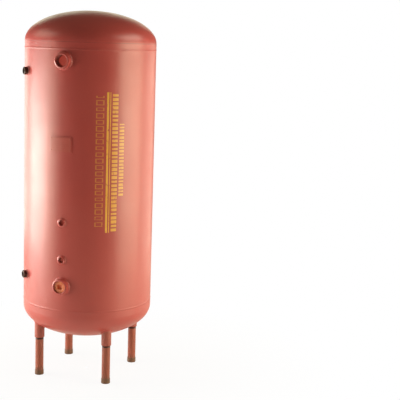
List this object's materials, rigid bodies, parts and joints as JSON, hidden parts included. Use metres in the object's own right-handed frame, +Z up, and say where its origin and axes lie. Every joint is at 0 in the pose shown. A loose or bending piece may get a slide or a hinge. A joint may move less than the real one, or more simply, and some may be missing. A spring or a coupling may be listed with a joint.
{
  "type": "air receiver tank",
  "caption": "Vertical welded steel receiver tank with dished heads, threaded couplings on its front and side, and screwed pipe legs.",
  "frame": {"origin": "on the floor under the vessel's axis", "axes": "+Z up along the vessel's axis; the main ports face -Y; the side ports face between -X and -Y"},
  "size_m": [0.7655, 0.7938, 2.154],
  "materials": {
    "red_oxide_paint": "satin red oxide primer",
    "coupling_paint": "satin red oxide primer, thin at the edges",
    "weld_paint": "painted weld bead",
    "leg_paint": "matt red oxide primer on pipe",
    "foot_cap": "dull",
    "plug_paint": "satin, painted over",
    "plate_paint": "painted over",
    "pin_paint": "painted over",
    "mill_steel": "mill scale"
  },
  "bodies": {
    "vessel": {"shell": "red_oxide_paint", "top_head": "red_oxide_paint", "bottom_head": "red_oxide_paint", "top_girth_weld": "weld_paint", "bottom_girth_weld": "weld_paint", "long_seam_weld": "weld_paint", "top_backing_ring": "mill_steel", "bottom_backing_ring": "mill_steel", "upper_main_coupling": "coupling_paint", "lower_main_coupling": "coupling_paint", "upper_gauge_coupling": "coupling_paint", "lower_gauge_coupling": "coupling_paint", "upper_side_coupling": "coupling_paint", "lower_side_coupling": "coupling_paint", "drain_coupling": "coupling_paint", "upper_main_weld": "weld_paint", "lower_main_weld": "weld_paint", "upper_gauge_weld": "weld_paint", "lower_gauge_weld": "weld_paint", "upper_side_weld": "weld_paint", "lower_side_weld": "weld_paint", "drain_weld": "weld_paint", "data_plate_pad": "red_oxide_paint", "data_plate": "plate_paint", "data_plate_pins": "pin_paint", "front_left_socket": "coupling_paint", "front_right_socket": "coupling_paint", "rear_right_socket": "coupling_paint", "rear_left_socket": "coupling_paint", "front_left_socket_weld": "weld_paint", "front_right_socket_weld": "weld_paint", "rear_right_socket_weld": "weld_paint", "rear_left_socket_weld": "weld_paint"},
    "port_plug": {"lower_main_plug": "plug_paint"},
    "front_left_leg": {"front_left_leg": "leg_paint", "front_left_foot_cap": "foot_cap"},
    "front_right_leg": {"front_right_leg": "leg_paint", "front_right_foot_cap": "foot_cap"},
    "rear_right_leg": {"rear_right_leg": "leg_paint", "rear_right_foot_cap": "foot_cap"},
    "rear_left_leg": {"rear_left_leg": "leg_paint", "rear_left_foot_cap": "foot_cap"}
  },
  "joints": [
    {"name": "lower_main_plug_draw", "type": "slide", "parent": "vessel", "child": "port_plug", "axis": [0, -1, 0], "range_m": [0, 0.08]},
    {"name": "front_left_leg_draw", "type": "slide", "parent": "vessel", "child": "front_left_leg", "axis": [0, 0, -1], "range_m": [0, 0.06]},
    {"name": "front_right_leg_draw", "type": "slide", "parent": "vessel", "child": "front_right_leg", "axis": [0, 0, -1], "range_m": [0, 0.06]},
    {"name": "rear_right_leg_draw", "type": "slide", "parent": "vessel", "child": "rear_right_leg", "axis": [0, 0, -1], "range_m": [0, 0.06]},
    {"name": "rear_left_leg_draw", "type": "slide", "parent": "vessel", "child": "rear_left_leg", "axis": [0, 0, -1], "range_m": [0, 0.06]}
  ]
}
